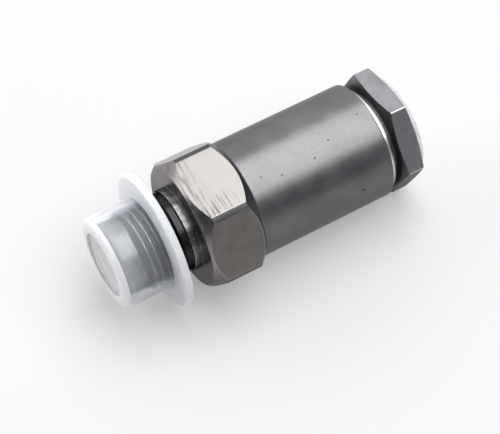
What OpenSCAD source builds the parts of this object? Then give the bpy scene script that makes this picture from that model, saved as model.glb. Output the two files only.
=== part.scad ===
// Fuel pressure relief valve with its two push-on transport caps, lying as it rests.
// The axis of the valve is X. The inlet nose points to -X and the return outlet to +X.
// The origin is on the axis, in the plane of the shoulder that seats on the rail.
// Threads are drawn plain: outside threads at their crest, the outlet thread at its core.

/* [Inlet nose] */
// Crest diameter of the inlet thread
inlet_thread_d = 18; // [17.4:0.1:19]
// Length of the nose, from the shoulder to the front face
nose_len = 16.6; // [16:0.1:18]
// Diameter of the plain pilot in front of the thread
pilot_d = 15.8; // [15:0.1:16.6]
// Length of the plain pilot
pilot_len = 4.4; // [3:0.1:6]
// Chamfer on the front edge of the nose
nose_chamfer = 0.8; // [0.3:0.1:1.2]
// Diameter of the relief groove behind the thread
relief_d = 17.4; // [15.6:0.1:17.8]
// Width of the relief groove
relief_w = 1.7; // [1:0.1:3]
// Length of the plain collar between the relief groove and the shoulder
collar_len = 1.8; // [1.2:0.1:2.5]
// Slope of the relief groove's two flanks
relief_slope = 30; // [20:1:45]

/* [Spanner hexagon] */
// Width across the flats of the front hexagon
hex_af = 27; // [26.6:0.1:28]
// Diameter of the round bar that the corners are left from
bar_d = 30.4; // [29.4:0.1:30.6]
// Diameter of the flat shoulder face
shoulder_d = 26; // [25:0.1:26.4]
// Length of the hexagon, from the shoulder to the body
hex_len = 12.6; // [11:0.1:15]
// Slope of the hexagon's end chamfers against the shoulder
hex_slope = 45; // [30:1:48]
// Roll of the valve about its axis as it lies on a table
lie_turn = 7.2; // [0:0.1:12]

/* [Body] */
// Outside diameter of the body
body_d = 25.4; // [24.6:0.1:26]
// Length of the plain body, from the hexagon to its rear end
body_len = 30.5; // [29:0.1:34]
// Chamfer on the rear edge of the body
body_chamfer = 0.2; // [0.1:0.1:0.8]
// Bore of the spring chamber
chamber_d = 17; // [16.8:0.1:18]
// Distance from the shoulder to the floor of the spring chamber
floor_x = 2.5; // [1:0.1:3.5]

/* [Inlet and seat] */
// Bore through the front wall of the nose
inlet_bore_d = 5; // [4:0.1:6]
// Mouth diameter of the inlet countersink
inlet_mouth_d = 8; // [7:0.1:9]
// Thickness of the front wall of the nose
front_wall = 3.2; // [2.6:0.1:3.6]
// Thickness of the soft washer under the seat
seat_seal_t = 0.5; // [0.3:0.1:0.8]
// Outside diameter of the hardened seat
seat_d = 11; // [10:0.1:11.4]
// Length of the hardened seat
seat_len = 6; // [5:0.1:6.4]
// Bore of the seat
seat_bore_d = 3; // [2.4:0.1:3.1]
// Mouth diameter of the seat's 90 degree cone
seat_mouth_d = 5.4; // [4.8:0.1:6]
// Chamfer on the front edges of the seat
seat_edge = 0.3; // [0.1:0.1:0.5]

/* [Valve member] */
// Diameter of the closing ball
ball_d = 4.5; // [4.4:0.1:4.8]
// Outside diameter of the ball holder
holder_d = 6.4; // [6:0.1:7]
// Length of the ball holder's cup
holder_len = 4; // [3.4:0.1:4.6]
// Distance from the ball's centre back to the cup's front face
holder_back = 0.3; // [0.2:0.1:0.6]
// Chamfer on the cup's front edge
holder_edge = 0.3; // [0.1:0.1:0.5]
// Diameter of the ball holder's stem
holder_stem_d = 3.2; // [2.4:0.1:4]
// Length of the ball holder's stem
holder_stem_len = 3.4; // [2.4:0.1:5]
// Diameter of the guided piston
piston_d = 8; // [7.4:0.1:8.4]
// Length of the piston's guided part
piston_len = 10; // [9:0.1:10.6]
// Width across the four flats that let fuel past the piston
piston_flats = 6.9; // [6.4:0.1:7.2]
// Diameter of the piston's rear spigot
spigot_d = 5; // [4:0.1:5.6]
// Length of the spigot that shows behind the spring plate
spigot_tail = 0.6; // [0.3:0.1:1]
// Lift of the valve from shut to its stop
valve_lift = 1.5; // [1:0.1:2]

/* [Guide sleeve] */
// Outside diameter of the screwed guide sleeve
guide_d = 12.8; // [12.2:0.1:13.2]
// Outside diameter of the guide sleeve's head
guide_head_d = 15.4; // [14.6:0.1:16]
// Thickness of the guide sleeve's head
guide_head_t = 2; // [1.6:0.1:2.6]
// Width of the two tool slots in the head
guide_slot_w = 2; // [1.4:0.1:2.6]
// Depth of the two tool slots
guide_slot_t = 1.1; // [0.8:0.1:1.4]

/* [Spring] */
// Wire diameter of the main spring
wire_d = 3; // [2.8:0.1:3.1]
// Outside diameter of the main spring
spring_d = 16.2; // [15.9:0.1:16.3]
// Number of turns, the two closed end turns among them
spring_turns = 5.5; // [5:0.25:6]
// Thickness of the front spring plate's flange
front_plate_t = 2.5; // [2:0.1:3]
// Thickness of the rear spring plate's flange
rear_plate_t = 2.6; // [2:0.1:3]
// Outside diameter of both spring plates
plate_d = 16; // [15.6:0.1:16.2]
// Diameter of the hub that centres the spring on each plate
plate_hub_d = 9.4; // [9:0.1:9.6]
// Length of that hub
plate_hub_len = 1.6; // [1:0.1:2]
// Diameter of the stop pin
stop_pin_d = 4; // [3:0.1:4.4]
// Chamfer on the stop pin's front edge
stop_pin_edge = 0.4; // [0.1:0.1:0.8]
// Diameter of the four return holes through the rear spring plate
return_hole_d = 1.6; // [1:0.1:1.8]
// Thickness of the first shim
shim_t1 = 0.5; // [0.3:0.1:1]
// Thickness of the second shim
shim_t2 = 0.8; // [0.3:0.1:1]
// Thickness of the third shim
shim_t3 = 1; // [0.3:0.1:1.2]
// Bore of the shims
shim_bore_d = 8.8; // [8.5:0.1:9.6]

/* [Outlet plug] */
// Crest diameter of the thread that holds the plug in the body
plug_thread_d = 20; // [19.4:0.1:20.6]
// Length of the plug's shank, from its head to its front end
plug_shank_len = 10.3; // [9.6:0.1:11]
// Chamfer on the front end of the plug's thread
plug_lead = 0.8; // [0.4:0.1:1]
// Length of the body's inside thread that shows in front of the plug
plug_thread_run = 1.2; // [0.6:0.1:1.6]
// Diameter of the neck between the plug's thread and its head
plug_neck_d = 19.2; // [18.8:0.1:19.4]
// Length of the neck
plug_neck_len = 3.6; // [2.8:0.1:4.2]
// Outside diameter of the bright sealing ring
ring_d = 22.7; // [22:0.1:23.6]
// Bore of the sealing ring, which passes over the plug's thread and so hangs loose on the neck
ring_bore_d = 20.2; // [20.1:0.1:20.6]
// Thickness of the sealing ring
ring_t = 1.5; // [1:0.1:1.8]
// Chamfer on the sealing ring's outer edges
ring_edge = 0.15; // [0.05:0.05:0.3]
// Gap that the plug is left short of the sealing ring
plug_standoff = 1; // [0.4:0.1:1.6]
// Width across the flats of the plug's head
plug_af = 24; // [23.6:0.1:24.6]
// Length of the hexagon head
plug_head_len = 4.6; // [4:0.1:6]
// Diameter of the head's flat end faces
plug_face_d = 23.2; // [22.8:0.1:23.4]
// Slope of the head's end chamfers
plug_slope = 15; // [10:1:30]
// Turn of the plug's hexagon against the front one
plug_turn = -15.3; // [-30:0.1:30]
// Core diameter of the outlet thread
outlet_core_d = 12.5; // [12:0.1:13]
// Depth of the outlet thread's bore
outlet_depth = 11.6; // [10.6:0.1:12.4]
// Through bore of the plug
plug_bore_d = 8; // [6.6:0.1:8.4]
// Countersink round the outlet thread
outlet_sink = 0.9; // [0.4:0.1:1.2]

/* [Front cap] */
// Wall thickness of the front cap
cap_wall = 0.8; // [0.6:0.1:1.2]
// Thickness of the front cap's closed end
cap_end_t = 1.2; // [1:0.1:1.6]
// Draft of the front cap's wall, as added radius at its open end
cap_draft = 0.1; // [0:0.05:0.2]
// Radius of the rounded rim of the closed end
cap_rim_r = 1.4; // [1:0.1:1.6]
// Diameter of the shallow recess in the closed end
cap_recess_d = 13.8; // [12:0.1:14.6]
// Depth of the recess
cap_recess_t = 0.45; // [0.3:0.05:0.6]
// Diameter of the front cap's flange
cap_flange_d = 29; // [27:0.1:30]
// Thickness of the flange
cap_flange_t = 1.6; // [1.2:0.1:2]
// Gap between the flange and the shoulder
cap_stand = 5.4; // [4.6:0.1:7]
// Root round of the flange
cap_root_r = 0.7; // [0.3:0.1:1]
// Chamfer inside the front cap, round its closed end
cap_corner = 0.4; // [0.2:0.1:0.6]

/* [Rear cap] */
// Diameter of the rear cap's flange
plug_cap_flange_d = 22; // [20:0.1:22.8]
// Thickness of the rear cap's flange
plug_cap_flange_t = 1.3; // [1:0.1:1.6]
// Depth to which the rear cap's cup reaches into the outlet
plug_cap_depth = 9; // [7:0.1:10]
// Wall thickness of the rear cap
plug_cap_wall = 0.8; // [0.6:0.1:1.1]
// Draft of the rear cap's cup, as radius lost at its closed end
plug_cap_draft = 0.3; // [0.1:0.05:0.5]
// Radius of the rounded rim of the cup's closed end
plug_cap_rim_r = 0.6; // [0.3:0.1:0.8]

/* [Clearances] */
// Radial clearance of the piston in its guide
run_clear = 0.05; // [0.03:0.01:0.08]
// Radial clearance of screwed and seated pieces
seat_clear = 0.04; // [0.02:0.01:0.08]
// Radial clearance of the soft washer round its bore and its rim
washer_clear = 0.08; // [0.04:0.01:0.12]
// Gap left between the ball and its seat, and between it and its holder
ball_gap = 0.02; // [0.01:0.01:0.04]
// Radial clearance of the caps on their threads
cap_clear = 0.1; // [0.05:0.01:0.2]
// Gap left at the stop when the valve is fully lifted
stop_gap = 0.06; // [0.03:0.01:0.1]
// Gap left between the spring's end turns and what they lie on
spring_gap = 0.02; // [0.01:0.01:0.04]
// Gap between the nose and the closed end of the front cap
cap_end_gap = 0.15; // [0.05:0.05:0.4]

/* [Hidden] */
$fn = 96;
eps = 0.01;
// How far a cutting shape reaches past what it cuts
past = 1;

steel_grey = [0.42, 0.42, 0.42];
steel_bright = [0.80, 0.80, 0.79];
steel_hard = [0.62, 0.63, 0.65];
spring_blue = [0.30, 0.32, 0.36];
copper = [0.72, 0.45, 0.32];
cap_white = [0.86, 0.88, 0.91];

// Stations along the axis, from the front face of the nose to the rear face of the plug
nose_x = -nose_len;
seal_x = nose_x + front_wall;
seat_x = seal_x + seat_seal_t;
seat_end_x = seat_x + seat_len;
seat_cone_t = (seat_mouth_d - seat_bore_d) / 2;
// A ball touches a 90 degree cone where its radius stands square to the cone's wall
ball_x = seat_end_x - seat_cone_t + ball_d / 2 * sqrt(2) - seat_bore_d / 2 + ball_gap;
pocket_end_x = ball_x + ball_d / 2 + ball_gap;
holder_x = ball_x + holder_back;
piston_x = holder_x + holder_len;
front_plate_x = piston_x + piston_len;
spring_front_x = front_plate_x + front_plate_t;
spigot_end_x = spring_front_x + plate_hub_len + spigot_tail;
body_end_x = hex_len + body_len;
ring_end_x = body_end_x + ring_t;
ring_drop = (ring_bore_d - plug_neck_d) / 2 - seat_clear;
head_x = ring_end_x + plug_standoff;
plug_front_x = head_x - plug_shank_len;
shim_x3 = plug_front_x - shim_t3;
shim_x2 = shim_x3 - shim_t2;
shim_x1 = shim_x2 - shim_t1;
spring_rear_x = shim_x1 - rear_plate_t;
stop_pin_x = spigot_end_x + valve_lift + stop_gap;
plug_end_x = head_x + plug_head_len;
plug_bore_start_x = plug_front_x - plug_thread_run;
thread_start_x = nose_x + pilot_len;
cap_end_x = nose_x - cap_end_gap - cap_end_t;
cap_open_x = -cap_stand;

// Stands a shape that was made along Z on the valve's axis instead
module along_x() {
    rotate([0, 90, 0]) children();
}

// Turned solid whose outline is a list of points, each a radius and a station along the axis
module turned(points) {
    along_x() rotate_extrude() polygon(points);
}

module tube_x(outer_d, inner_d, from_x, to_x) {
    turned([[inner_d / 2, from_x], [outer_d / 2, from_x], [outer_d / 2, to_x], [inner_d / 2, to_x]]);
}

module rod_x(d, from_x, to_x) {
    translate([from_x, 0, 0]) along_x() cylinder(d = d, h = to_x - from_x);
}

// Six-sided bar along X with two flats facing up and down at turn 0
module hexagon_x(across_flats, from_x, to_x, turn) {
    rotate([turn, 0, 0]) translate([from_x, 0, 0]) along_x()
        rotate([0, 0, 30]) cylinder(r = across_flats / 2 / cos(30), h = to_x - from_x, $fn = 6);
}

// Turned from round bar, then milled: the hexagon cuts only where the bar is wider than its flats,
// and the cones at both ends of the bar leave the curved edges on those flats
module valve_housing() {
    front_rise = (bar_d - shoulder_d) / 2 * tan(hex_slope);
    rear_rise = (bar_d - body_d) / 2 * tan(hex_slope);
    thread_rise = (inlet_thread_d - pilot_d) / 2;
    relief_rise = (inlet_thread_d - relief_d) / 2 * tan(relief_slope);
    relief_x = -collar_len - relief_w;
    color(steel_grey) difference() {
        intersection() {
            turned([[0, nose_x], [pilot_d / 2 - nose_chamfer, nose_x], [pilot_d / 2, nose_x + nose_chamfer],
                    [pilot_d / 2, thread_start_x], [inlet_thread_d / 2, thread_start_x + thread_rise],
                    [inlet_thread_d / 2, relief_x], [relief_d / 2, relief_x + relief_rise],
                    [relief_d / 2, -collar_len - relief_rise], [inlet_thread_d / 2, -collar_len],
                    [inlet_thread_d / 2, 0], [shoulder_d / 2, 0], [bar_d / 2, front_rise],
                    [bar_d / 2, hex_len - rear_rise], [body_d / 2, hex_len],
                    [body_d / 2, body_end_x - body_chamfer], [body_d / 2 - body_chamfer, body_end_x],
                    [0, body_end_x]]);
            hexagon_x(hex_af, nose_x - past, body_end_x + past, lie_turn);
        }
        turned([[0, nose_x - eps], [inlet_mouth_d / 2 + eps, nose_x - eps],
                [inlet_bore_d / 2, nose_x + (inlet_mouth_d - inlet_bore_d) / 2], [inlet_bore_d / 2, seal_x],
                [seat_d / 2 + seat_clear, seal_x], [seat_d / 2 + seat_clear, seat_end_x],
                [guide_d / 2 + seat_clear, seat_end_x], [guide_d / 2 + seat_clear, floor_x],
                [chamber_d / 2, floor_x], [chamber_d / 2, plug_bore_start_x],
                [plug_thread_d / 2 + seat_clear, plug_bore_start_x],
                [plug_thread_d / 2 + seat_clear, body_end_x + eps], [0, body_end_x + eps]]);
    }
}

module seat_washer() {
    color(copper) tube_x(seat_d - 2 * washer_clear, inlet_bore_d + 2 * washer_clear, seal_x, seat_x);
}

module inlet_seat() {
    color(steel_hard) turned([
        [seat_bore_d / 2 + seat_edge, seat_x], [seat_d / 2 - seat_edge, seat_x],
        [seat_d / 2, seat_x + seat_edge], [seat_d / 2, seat_end_x], [seat_mouth_d / 2, seat_end_x],
        [seat_bore_d / 2, seat_end_x - seat_cone_t], [seat_bore_d / 2, seat_x + seat_edge]]);
}

module guide_sleeve() {
    bore_r = piston_d / 2 + run_clear;
    head_end_x = floor_x + guide_head_t;
    color(steel_hard) difference() {
        turned([[bore_r, seat_end_x], [guide_d / 2, seat_end_x], [guide_d / 2, floor_x],
                [guide_head_d / 2, floor_x], [guide_head_d / 2, head_end_x], [bore_r, head_end_x]]);
        translate([head_end_x - guide_slot_t, -guide_head_d, -guide_slot_w / 2])
            cube([guide_slot_t + past, 2 * guide_head_d, guide_slot_w]);
    }
}

module valve_ball() {
    color(steel_bright) translate([ball_x, 0, 0]) sphere(d = ball_d);
}

module ball_holder() {
    pocket_r = ball_d / 2 + run_clear;
    stem_end_x = piston_x + holder_stem_len;
    color(steel_hard) turned([
        [pocket_r, holder_x], [holder_d / 2 - holder_edge, holder_x], [holder_d / 2, holder_x + holder_edge],
        [holder_d / 2, piston_x], [holder_stem_d / 2, piston_x], [holder_stem_d / 2, stem_end_x],
        [0, stem_end_x], [0, pocket_end_x], [pocket_r, pocket_end_x]]);
}

module valve_piston() {
    color(steel_hard) difference() {
        union() {
            intersection() {
                rod_x(piston_d, piston_x, front_plate_x);
                rotate([45, 0, 0]) translate([piston_x - past, -piston_flats / 2, -piston_flats / 2])
                    cube([piston_len + 2 * past, piston_flats, piston_flats]);
            }
            rod_x(spigot_d, front_plate_x - past, spigot_end_x);
        }
        rod_x(holder_stem_d + 2 * seat_clear, piston_x - past, piston_x + holder_stem_len);
    }
}

module front_spring_plate() {
    bore_r = spigot_d / 2 + seat_clear;
    color(steel_grey) turned([
        [bore_r, front_plate_x], [plate_d / 2, front_plate_x], [plate_d / 2, spring_front_x],
        [plate_hub_d / 2, spring_front_x], [plate_hub_d / 2, spring_front_x + plate_hub_len],
        [bore_r, spring_front_x + plate_hub_len]]);
}

// Helix of round wire: the first and last turns lie closed, the turns between share the rest
spring_wire_r = wire_d / 2;
spring_mean_r = spring_d / 2 - spring_wire_r;
spring_rings = 24;
spring_sides = 10;
spring_lead = wire_d + spring_gap;
spring_from = spring_front_x + spring_wire_r + spring_gap;
spring_reach = spring_rear_x - spring_wire_r - spring_gap - spring_from;
spring_steps = round(spring_turns * spring_rings);

// Station of the wire's centre after n turns
function spring_station(n) =
    n < 1 ? spring_lead * n :
    n > spring_turns - 1 ? spring_reach - spring_lead * (spring_turns - n) :
    spring_lead + (spring_reach - 2 * spring_lead) * (n - 1) / (spring_turns - 2);

function wire_point(i, j) =
    let (n = spring_turns * i / spring_steps, a = 360 * n, b = 360 * j / spring_sides,
         r = spring_mean_r + spring_wire_r * cos(b))
    [spring_from + spring_station(n) + spring_wire_r * sin(b), r * cos(a), r * sin(a)];

module main_spring() {
    points = [for (i = [0:spring_steps], j = [0:spring_sides - 1]) wire_point(i, j)];
    walls = [for (i = [0:spring_steps - 1], j = [0:spring_sides - 1])
        let (k = (j + 1) % spring_sides, a = i * spring_sides, b = a + spring_sides)
        [a + j, b + j, b + k, a + k]];
    first = [for (j = [0:spring_sides - 1]) j];
    last = [for (j = [spring_sides - 1:-1:0]) spring_steps * spring_sides + j];
    color(spring_blue) polyhedron(points, concat([first], walls, [last]), convexity = 12);
}

module rear_spring_plate() {
    bore_r = stop_pin_d / 2 + seat_clear / 2;
    hole_ring = (stop_pin_d + plate_hub_d) / 4;
    hub_x = spring_rear_x - plate_hub_len;
    color(steel_grey) difference() {
        turned([[bore_r, hub_x], [plate_hub_d / 2, hub_x], [plate_hub_d / 2, spring_rear_x],
                [plate_d / 2, spring_rear_x], [plate_d / 2, shim_x1], [bore_r, shim_x1]]);
        for (a = [0:90:270])
            rotate([a, 0, 0]) translate([0, 0, hole_ring]) rod_x(return_hole_d, hub_x - past, shim_x1 + past);
    }
}

module stop_pin() {
    color(steel_hard) turned([
        [0, stop_pin_x], [stop_pin_d / 2 - stop_pin_edge, stop_pin_x],
        [stop_pin_d / 2, stop_pin_x + stop_pin_edge], [stop_pin_d / 2, shim_x1], [0, shim_x1]]);
}

module shim(from_x, to_x) {
    color(steel_bright) tube_x(plate_d, shim_bore_d, from_x, to_x);
}

module shim_thin() {
    shim(shim_x1, shim_x2);
}

module shim_middle() {
    shim(shim_x2, shim_x3);
}

module shim_thick() {
    shim(shim_x3, plug_front_x);
}

// Turned plug with its head milled to a hexagon, tapped from the rear for the return line
module outlet_plug() {
    core_x = plug_end_x - outlet_depth;
    corner_r = plug_af / 2 / cos(30);
    rise = (corner_r - plug_face_d / 2) * tan(plug_slope);
    color(steel_grey) difference() {
        intersection() {
            turned([[0, plug_front_x], [plug_thread_d / 2 - plug_lead, plug_front_x],
                    [plug_thread_d / 2, plug_front_x + plug_lead],
                    [plug_thread_d / 2, head_x - plug_neck_len], [plug_neck_d / 2, head_x - plug_neck_len],
                    [plug_neck_d / 2, head_x], [plug_face_d / 2, head_x],
                    [corner_r + eps, head_x + rise], [corner_r + eps, plug_end_x - rise],
                    [plug_face_d / 2, plug_end_x], [0, plug_end_x]]);
            hexagon_x(plug_af, plug_front_x - past, plug_end_x + past, lie_turn + plug_turn);
        }
        turned([[0, plug_front_x - eps], [plug_bore_d / 2, plug_front_x - eps], [plug_bore_d / 2, core_x],
                [outlet_core_d / 2, core_x], [outlet_core_d / 2, plug_end_x - outlet_sink],
                [outlet_core_d / 2 + outlet_sink + eps, plug_end_x + eps], [0, plug_end_x + eps]]);
    }
}

// Loose washer that lies against the body and has dropped on the plug's neck
module sealing_ring() {
    inner_r = ring_bore_d / 2;
    color(steel_bright) translate([0, 0, -ring_drop]) turned([
        [inner_r, body_end_x], [ring_d / 2 - ring_edge, body_end_x], [ring_d / 2, body_end_x + ring_edge],
        [ring_d / 2, ring_end_x - ring_edge], [ring_d / 2 - ring_edge, ring_end_x], [inner_r, ring_end_x]]);
}

// Cup with a drafted wall, a rounded rim with a recessed end, and a flange round its mouth
module front_cap() {
    bore_r = inlet_thread_d / 2 + cap_clear;
    wall_r = bore_r + cap_wall;
    length = cap_open_x - cap_end_x;
    flange_x = length - cap_flange_t;
    color(cap_white) translate([cap_end_x, 0, 0]) along_x() rotate_extrude() difference() {
        union() {
            polygon([[0, 0], [wall_r - cap_rim_r, 0], [wall_r - cap_rim_r, cap_rim_r], [wall_r, cap_rim_r],
                     [wall_r + cap_draft, flange_x], [wall_r + cap_draft, length], [0, length]]);
            translate([wall_r - cap_rim_r, cap_rim_r]) circle(r = cap_rim_r);
            difference() {
                translate([wall_r, flange_x - cap_root_r]) square([cap_root_r + cap_draft, cap_root_r + eps]);
                translate([wall_r + cap_draft + cap_root_r, flange_x - cap_root_r]) circle(r = cap_root_r);
            }
            translate([wall_r, flange_x]) square([cap_flange_d / 2 - wall_r, cap_flange_t]);
        }
        polygon([[0, cap_end_t], [bore_r - cap_corner, cap_end_t], [bore_r, cap_end_t + cap_corner],
                 [bore_r + cap_draft, length + eps], [0, length + eps]]);
        translate([0, -eps]) square([cap_recess_d / 2, cap_recess_t + eps]);
    }
}

// Plug cap: its cup stands in the outlet bore, its flange lies on the head
module rear_cap() {
    mouth_r = outlet_core_d / 2 - cap_clear;
    end_r = mouth_r - plug_cap_draft;
    end_x = plug_end_x - plug_cap_depth;
    rim_x = plug_cap_depth + plug_cap_flange_t;
    color(cap_white) translate([end_x, 0, 0]) along_x() rotate_extrude() difference() {
        union() {
            polygon([[0, 0], [end_r - plug_cap_rim_r, 0], [end_r - plug_cap_rim_r, plug_cap_rim_r],
                     [end_r, plug_cap_rim_r], [mouth_r, plug_cap_depth], [mouth_r, rim_x], [0, rim_x]]);
            translate([end_r - plug_cap_rim_r, plug_cap_rim_r]) circle(r = plug_cap_rim_r);
            translate([end_r, plug_cap_depth]) square([plug_cap_flange_d / 2 - end_r, plug_cap_flange_t]);
        }
        polygon([[0, plug_cap_wall], [end_r - plug_cap_wall, plug_cap_wall],
                 [mouth_r - plug_cap_wall, rim_x + eps], [0, rim_x + eps]]);
    }
}

valve_housing();
seat_washer();
inlet_seat();
guide_sleeve();
valve_ball();
ball_holder();
valve_piston();
front_spring_plate();
main_spring();
rear_spring_plate();
stop_pin();
shim_thin();
shim_middle();
shim_thick();
outlet_plug();
sealing_ring();
front_cap();
rear_cap();
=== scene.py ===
"""Looks of the fuel pressure relief valve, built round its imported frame."""

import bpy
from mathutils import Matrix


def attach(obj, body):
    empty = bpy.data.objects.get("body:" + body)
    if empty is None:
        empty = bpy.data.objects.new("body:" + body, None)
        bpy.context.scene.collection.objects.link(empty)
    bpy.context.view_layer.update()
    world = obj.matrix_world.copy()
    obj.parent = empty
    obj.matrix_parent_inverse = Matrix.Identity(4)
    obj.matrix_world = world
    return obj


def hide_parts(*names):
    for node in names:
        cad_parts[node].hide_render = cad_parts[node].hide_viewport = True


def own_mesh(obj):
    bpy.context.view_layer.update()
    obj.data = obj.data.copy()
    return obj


bl_info = {
    "name": "Fuel pressure relief valve",
    "version": (1, 0, 0),
    "blender": (4, 5, 0),
    "location": "3D View > Sidebar > Valve",
    "description": "Builds the threaded, milled and moulded surfaces of a screw-in relief valve and its stage",
    "category": "Add Mesh",
}

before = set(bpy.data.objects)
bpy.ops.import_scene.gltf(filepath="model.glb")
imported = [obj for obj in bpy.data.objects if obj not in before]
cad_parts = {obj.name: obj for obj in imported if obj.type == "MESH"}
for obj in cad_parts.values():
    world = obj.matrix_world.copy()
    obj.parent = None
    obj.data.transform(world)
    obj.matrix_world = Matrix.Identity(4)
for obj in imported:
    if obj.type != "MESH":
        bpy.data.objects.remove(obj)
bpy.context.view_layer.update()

import math

import bpy
import numpy as np
from mathutils import Matrix, Vector

MM = 0.001
HALF_FACE = math.pi / 6


def length(value, name, description):
    """A size, given in millimetres, that the sidebar shows as a length."""
    return bpy.props.FloatProperty(name=name, description=description, default=value * MM, unit="LENGTH",
                                   subtype="DISTANCE", precision=5)


def angle(value, name, description):
    """An angle, given in degrees, that the sidebar shows as one."""
    return bpy.props.FloatProperty(name=name, description=description, default=math.radians(value),
                                   unit="ROTATION", subtype="ANGLE")


def colour(value, name, description):
    """A linear colour."""
    return bpy.props.FloatVectorProperty(name=name, description=description, default=value, size=3,
                                         subtype="COLOR", min=0, max=1)


def share(value, name, description):
    """A plain number without a unit."""
    return bpy.props.FloatProperty(name=name, description=description, default=value, min=0)


def count(value, name, description):
    """A number of copies or steps."""
    return bpy.props.IntProperty(name=name, description=description, default=value, min=1)


class HousingSizes(bpy.types.PropertyGroup):
    """Sizes of the housing's nose, hexagon and body."""

    nose_length: length(16.6, "Nose length", "From the shoulder to the front face")
    nose_chamfer: length(0.8, "Nose chamfer", "Chamfer on the front edge of the nose")
    pilot_diameter: length(15.8, "Pilot diameter", "Plain pilot in front of the thread")
    pilot_length: length(4.4, "Pilot length", "Length of the plain pilot")
    thread_diameter: length(18, "Thread diameter", "Crest diameter of the inlet thread")
    thread_pitch: length(1.5, "Thread pitch", "Distance from groove to groove")
    thread_depth: length(0.92, "Thread depth", "From the crest to the root")
    root_width: length(0.2, "Root width", "Width of the groove's floor")
    first_root: length(-11.6, "First root", "Station of the first groove on the side that faces up")
    relief_diameter: length(17.4, "Relief diameter", "Shallow groove behind the thread")
    relief_width: length(1.7, "Relief width", "Width of the relief groove")
    collar_length: length(1.8, "Collar length", "Plain collar in front of the shoulder")
    shoulder_diameter: length(26, "Shoulder diameter", "Flat face of the hexagon")
    bar_diameter: length(30.4, "Bar diameter", "Round bar that the hexagon's corners are left from")
    hexagon_width: length(27, "Hexagon width", "Across the flats")
    hexagon_length: length(12.6, "Hexagon length", "From the shoulder to the body")
    hexagon_slope: angle(45, "Hexagon slope", "Slope of the end chamfers")
    hexagon_roll: angle(7.2, "Hexagon roll", "Turn of the top flat from level")
    body_diameter: length(25.4, "Body diameter", "Plain round body")
    body_length: length(30.5, "Body length", "From the hexagon to the rear end")
    body_chamfer: length(0.2, "Body chamfer", "Chamfer on the body's rear edge")
    edge: length(0.09, "Edge softness", "Reach of the rounding on machined edges")
    chamber_diameter: length(17, "Chamber diameter", "Bore of the spring chamber")
    chamber_floor: length(2.5, "Chamber floor", "From the shoulder to the chamber's floor")
    plug_bore_diameter: length(20.08, "Plug bore", "Bore that takes the outlet plug")
    plug_bore_depth: length(9, "Plug bore depth", "Depth of that bore")
    guide_bore_diameter: length(12.88, "Guide bore", "Bore that takes the guide sleeve")
    seat_bore_diameter: length(11.08, "Seat bore", "Bore that takes the hardened seat")
    seat_front: length(-13.4, "Seat bore front", "Station where the seat's bore ends")
    seat_rear: length(-6.9, "Seat bore rear", "Station where the guide's bore begins")
    inlet_diameter: length(5, "Inlet diameter", "Bore through the front wall")
    inlet_mouth: length(8, "Inlet mouth", "Mouth of the inlet's countersink")
    thread_rows: count(150, "Thread rows", "Rows of the surface along the thread")


class PlugSizes(bpy.types.PropertyGroup):
    """Sizes of the outlet plug."""

    front: length(35.3, "Front", "Station of the plug's front end")
    thread_diameter: length(20, "Thread diameter", "Crest diameter of the thread in the body")
    lead: length(0.8, "Lead", "Chamfer on the thread's front end")
    neck_diameter: length(19.2, "Neck diameter", "Neck between the thread and the head")
    neck_length: length(3.6, "Neck length", "Length of the neck")
    head: length(45.6, "Head", "Station where the hexagon begins")
    rear: length(50.2, "Rear", "Station of the rear face")
    hexagon_width: length(24, "Hexagon width", "Across the flats")
    face_diameter: length(23.2, "Face diameter", "Flat end faces of the head")
    slope: angle(15, "Slope", "Slope of the head's chamfers")
    roll: angle(-8.1, "Roll", "Turn of the top flat from level")
    corner_radius: length(0.16, "Corner radius", "Rounding of the hexagon's six edges")
    edge: length(0.07, "Edge softness", "Reach of the rounding on machined edges")
    core_diameter: length(12.5, "Core diameter", "Core of the outlet thread")
    outlet_pitch: length(1.5, "Outlet pitch", "Pitch of the outlet thread")
    outlet_depth: length(0.75, "Outlet thread depth", "From the core to the thread's root")
    root_width: length(0.2, "Root width", "Width of the floor of the outlet thread's groove")
    outlet_reach: length(11.6, "Outlet reach", "Depth of the outlet's bore")
    bore_diameter: length(8, "Through bore", "Bore through the plug")
    countersink: length(0.9, "Countersink", "Chamfer round the outlet thread")
    thread_rows: count(120, "Thread rows", "Rows of the surface along the outlet thread")


class FrontCapSizes(bpy.types.PropertyGroup):
    """Sizes of the cap that is pushed over the inlet thread."""

    end: length(-17.95, "Closed end", "Station of the cap's closed end")
    mouth: length(-5.4, "Mouth", "Station of the cap's open end")
    bore_diameter: length(18.2, "Bore", "Inside diameter at the closed end")
    wall: length(0.8, "Wall", "Thickness of the cap's wall")
    end_wall: length(1.2, "End wall", "Thickness of the closed end")
    draft: length(0.1, "Draft", "Radius that the wall gains towards the mouth")
    rim_radius: length(1.4, "Rim radius", "Rounding of the closed end")
    inner_corner: length(0.4, "Inner corner", "Rounding inside the closed end")
    recess_diameter: length(13.8, "Recess diameter", "Shallow recess in the closed end")
    recess_depth: length(0.45, "Recess depth", "Depth of that recess")
    gate_diameter: length(1.2, "Gate mark", "Diameter of the moulding gate's mark")
    gate_height: length(0.16, "Gate height", "Height of that mark")
    flange_diameter: length(29, "Flange diameter", "Over the serration's crests")
    flange_thickness: length(1.6, "Flange thickness", "Thickness of the flange")
    root_radius: length(0.7, "Root radius", "Rounding between the wall and the flange")
    teeth: count(220, "Teeth", "Fine teeth round the flange")
    tooth_depth: length(0.20, "Tooth depth", "Depth of the fine teeth")


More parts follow.
